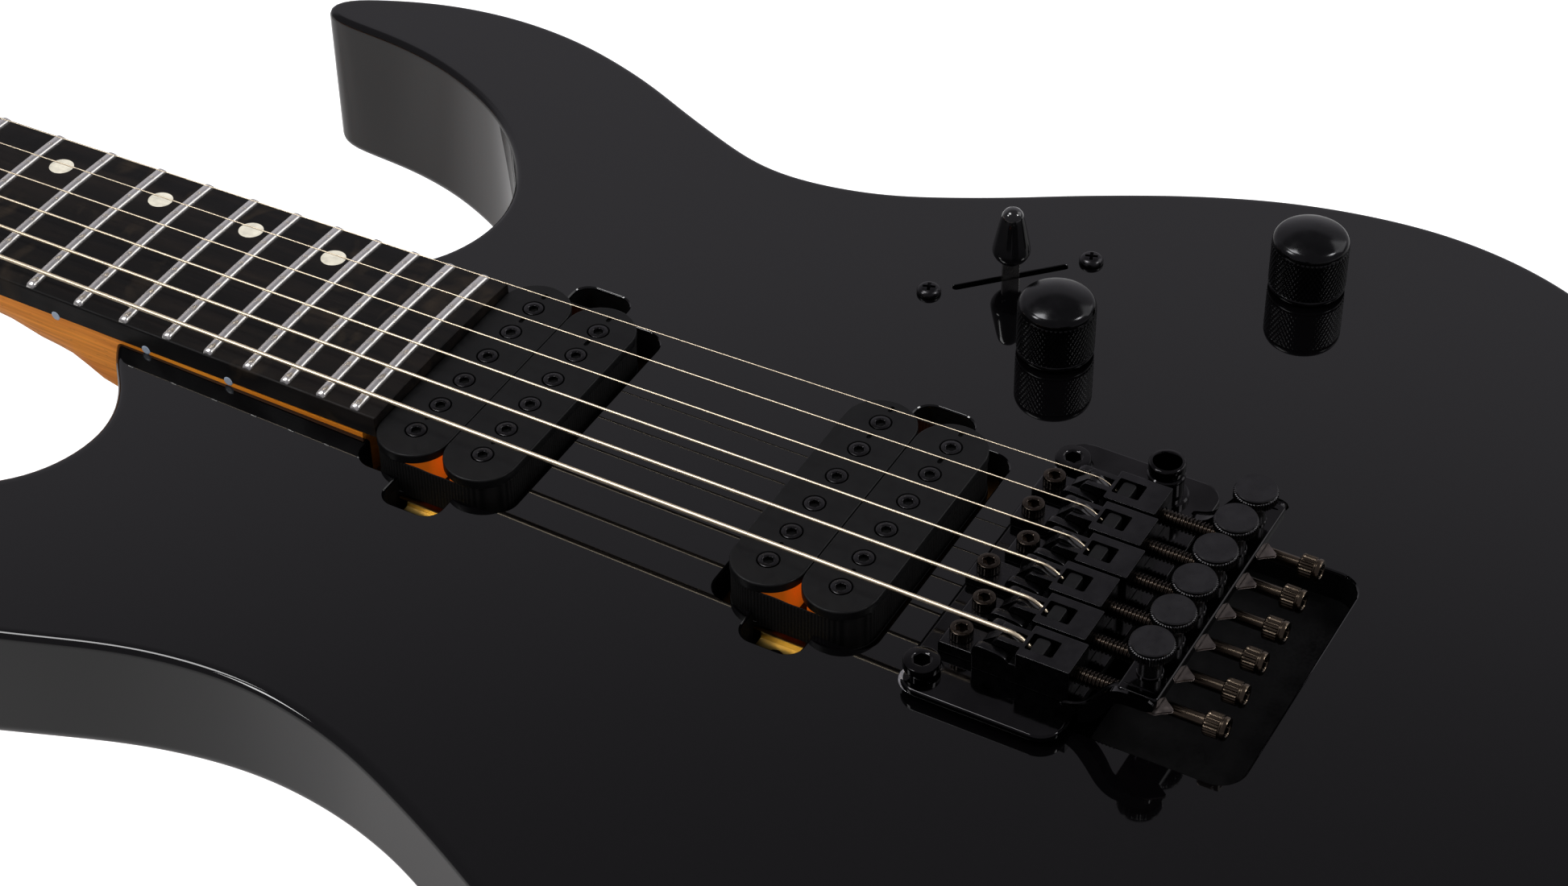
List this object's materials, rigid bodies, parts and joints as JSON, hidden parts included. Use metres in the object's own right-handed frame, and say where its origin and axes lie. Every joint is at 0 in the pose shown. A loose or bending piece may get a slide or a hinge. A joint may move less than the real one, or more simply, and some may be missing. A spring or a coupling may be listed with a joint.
{
  "type": "electric guitar",
  "caption": "Double-cutaway solid-body electric guitar, gloss black, with bolt-on maple neck, ebony fretboard, open-coil pickups and a locking tremolo.",
  "frame": {"origin": "on the centre line, at the bridge scale line, on the flat back face of the body", "axes": "+X to the treble side, +Y along the strings towards the headstock, +Z out of the playing face"},
  "size_m": [0.3262, 1.0093, 0.0689],
  "materials": {
    "black_lacquer": "mirror-gloss black lacquer over a wooden body",
    "roasted_maple": "satin oiled roasted maple",
    "ebony": "satin open-pored ebony",
    "fret_nickel": "polished nickel silver",
    "cream_inlay": "flush cream dots",
    "black_hardware": "black-plated steel, semi-gloss",
    "dark_nickel": "dark nickel-plated steel",
    "satin_black_plastic": "satin black moulded plastic",
    "gloss_black_plastic": "gloss black moulded plastic",
    "black_knob": "black-plated knurled metal",
    "copper_coil": "enamelled copper wire under black cloth tape",
    "brass_plate": "bare brass",
    "zinc": "bright zinc plating",
    "bare_steel": "bright steel",
    "string_steel": "nickel-plated string wire"
  },
  "bodies": {
    "guitar": {"body": "black_lacquer", "neck": "roasted_maple", "fretboard": "ebony", "frets": "fret_nickel", "inlay_dots": "cream_inlay", "truss_rod": "bare_steel", "truss_rod_cover": "satin_black_plastic", "nut_base": "black_hardware", "nut_clamps": "black_hardware", "nut_screws": "black_hardware", "string_retainer": "black_hardware", "tuner_housings": "black_hardware", "tuner_bushings": "black_hardware", "neck_ferrules": "black_hardware", "mounting_screws": "black_hardware", "control_cover": "satin_black_plastic", "spring_cover": "satin_black_plastic", "strap_buttons": "black_hardware", "output_jack": "black_hardware", "pickup_bobbins": "satin_black_plastic", "pickup_coils": "copper_coil", "pickup_baseplates": "brass_plate", "pickup_poles": "dark_nickel", "switch_frame": "zinc", "potentiometers": "zinc", "pivot_posts": "black_hardware", "post_anchors": "zinc", "spring_claw": "bare_steel", "trem_springs": "bare_steel", "strings_plain": "string_steel", "strings_wound": "string_steel"},
    "tremolo": {"base_plate": "black_hardware", "saddles": "black_hardware", "clamp_blocks": "black_hardware", "intonation_screws": "dark_nickel", "lock_screws": "dark_nickel", "sustain_block": "bare_steel", "arm_collar": "black_hardware"},
    "volume": {"volume_knob": "black_knob"},
    "tone": {"tone_knob": "black_knob"},
    "selector": {"selector_lever": "bare_steel", "selector_tip": "gloss_black_plastic"},
    "fine_tuner_1": {"fine_tuner_1": "black_hardware"},
    "fine_tuner_2": {"fine_tuner_2": "black_hardware"},
    "fine_tuner_3": {"fine_tuner_3": "black_hardware"},
    "fine_tuner_4": {"fine_tuner_4": "black_hardware"},
    "fine_tuner_5": {"fine_tuner_5": "black_hardware"},
    "fine_tuner_6": {"fine_tuner_6": "black_hardware"},
    "tuner_button_1": {"tuner_button_1": "black_hardware"},
    "tuner_post_1": {"tuner_post_1": "dark_nickel"},
    "tuner_button_2": {"tuner_button_2": "black_hardware"},
    "tuner_post_2": {"tuner_post_2": "dark_nickel"},
    "tuner_button_3": {"tuner_button_3": "black_hardware"},
    "tuner_post_3": {"tuner_post_3": "dark_nickel"},
    "tuner_button_4": {"tuner_button_4": "black_hardware"},
    "tuner_post_4": {"tuner_post_4": "dark_nickel"},
    "tuner_button_5": {"tuner_button_5": "black_hardware"},
    "tuner_post_5": {"tuner_post_5": "dark_nickel"},
    "tuner_button_6": {"tuner_button_6": "black_hardware"},
    "tuner_post_6": {"tuner_post_6": "dark_nickel"}
  },
  "joints": [
    {"name": "tremolo_tilt", "type": "hinge", "parent": "guitar", "child": "tremolo", "pos_m": [0, 0.0074, 0.0464], "axis": [1, 0, 0], "range_deg": [-12, 2.5], "deforming": ["trem_springs", "strings_plain", "strings_wound"]},
    {"name": "volume_turn", "type": "hinge", "parent": "guitar", "child": "volume", "pos_m": [0.0762, 0.0334, 0.044], "axis": [0, 0, 1], "range_deg": [-150, 150]},
    {"name": "tone_turn", "type": "hinge", "parent": "guitar", "child": "tone", "pos_m": [0.1272, -0.0094, 0.044], "axis": [0, 0, 1], "range_deg": [-150, 150]},
    {"name": "selector_swing", "type": "hinge", "parent": "guitar", "child": "selector", "pos_m": [0.0963, 0.0551, 0.022], "axis": [0.7071, 0.7071, 0], "range_deg": [-22, 22]},
    {"name": "fine_tuner_1_turn", "type": "hinge", "parent": "tremolo", "child": "fine_tuner_1", "pos_m": [-0.0269, -0.0376, 0.064], "axis": [0, 0, 1], "range_deg": [-540, 540]},
    {"name": "fine_tuner_2_turn", "type": "hinge", "parent": "tremolo", "child": "fine_tuner_2", "pos_m": [-0.01614, -0.0376, 0.064], "axis": [0, 0, 1], "range_deg": [-540, 540]},
    {"name": "fine_tuner_3_turn", "type": "hinge", "parent": "tremolo", "child": "fine_tuner_3", "pos_m": [-0.00538, -0.0376, 0.064], "axis": [0, 0, 1], "range_deg": [-540, 540]},
    {"name": "fine_tuner_4_turn", "type": "hinge", "parent": "tremolo", "child": "fine_tuner_4", "pos_m": [0.00538, -0.0376, 0.064], "axis": [0, 0, 1], "range_deg": [-540, 540]},
    {"name": "fine_tuner_5_turn", "type": "hinge", "parent": "tremolo", "child": "fine_tuner_5", "pos_m": [0.01614, -0.0376, 0.064], "axis": [0, 0, 1], "range_deg": [-540, 540]},
    {"name": "fine_tuner_6_turn", "type": "hinge", "parent": "tremolo", "child": "fine_tuner_6", "pos_m": [0.0269, -0.0376, 0.064], "axis": [0, 0, 1], "range_deg": [-540, 540]},
    {"name": "tuner_button_1_turn", "type": "hinge", "parent": "guitar", "child": "tuner_button_1", "pos_m": [-0.03568, 0.71152, 0.02091], "axis": [0.9586, -0.2848, 0.003], "continuous": true},
    {"name": "tuner_post_1_turn", "type": "hinge", "parent": "guitar", "child": "tuner_post_1", "pos_m": [-0.0219, 0.71597, 0.03987], "axis": [0, 0.0105, 0.9999], "continuous": true},
    {"name": "tuner_button_2_turn", "type": "hinge", "parent": "guitar", "child": "tuner_button_2", "pos_m": [-0.0284, 0.73602, 0.02065], "axis": [0.9586, -0.2848, 0.003], "continuous": true},
    {"name": "tuner_post_2_turn", "type": "hinge", "parent": "guitar", "child": "tuner_post_2", "pos_m": [-0.01462, 0.74047, 0.03961], "axis": [0, 0.0105, 0.9999], "continuous": true},
    {"name": "tuner_button_3_turn", "type": "hinge", "parent": "guitar", "child": "tuner_button_3", "pos_m": [-0.02112, 0.76052, 0.0204], "axis": [0.9586, -0.2848, 0.003], "continuous": true},
    {"name": "tuner_post_3_turn", "type": "hinge", "parent": "guitar", "child": "tuner_post_3", "pos_m": [-0.00734, 0.76497, 0.03935], "axis": [0, 0.0105, 0.9999], "continuous": true},
    {"name": "tuner_button_4_turn", "type": "hinge", "parent": "guitar", "child": "tuner_button_4", "pos_m": [-0.01384, 0.78502, 0.02014], "axis": [0.9586, -0.2848, 0.003], "continuous": true},
    {"name": "tuner_post_4_turn", "type": "hinge", "parent": "guitar", "child": "tuner_post_4", "pos_m": [-0.00006, 0.78947, 0.0391], "axis": [0, 0.0105, 0.9999], "continuous": true},
    {"name": "tuner_button_5_turn", "type": "hinge", "parent": "guitar", "child": "tuner_button_5", "pos_m": [-0.00656, 0.80951, 0.01989], "axis": [0.9586, -0.2848, 0.003], "continuous": true},
    {"name": "tuner_post_5_turn", "type": "hinge", "parent": "guitar", "child": "tuner_post_5", "pos_m": [0.00722, 0.81396, 0.03884], "axis": [0, 0.0105, 0.9999], "continuous": true},
    {"name": "tuner_button_6_turn", "type": "hinge", "parent": "guitar", "child": "tuner_button_6", "pos_m": [0.00072, 0.83401, 0.01963], "axis": [0.9586, -0.2848, 0.003], "continuous": true},
    {"name": "tuner_post_6_turn", "type": "hinge", "parent": "guitar", "child": "tuner_post_6", "pos_m": [0.0145, 0.83846, 0.03858], "axis": [0, 0.0105, 0.9999], "continuous": true}
  ],
  "couplings": [
    {"joint": "tuner_post_1_turn", "follows": "tuner_button_1_turn", "ratio": 0.066667},
    {"joint": "tuner_post_2_turn", "follows": "tuner_button_2_turn", "ratio": 0.066667},
    {"joint": "tuner_post_3_turn", "follows": "tuner_button_3_turn", "ratio": 0.066667},
    {"joint": "tuner_post_4_turn", "follows": "tuner_button_4_turn", "ratio": 0.066667},
    {"joint": "tuner_post_5_turn", "follows": "tuner_button_5_turn", "ratio": 0.066667},
    {"joint": "tuner_post_6_turn", "follows": "tuner_button_6_turn", "ratio": 0.066667}
  ]
}
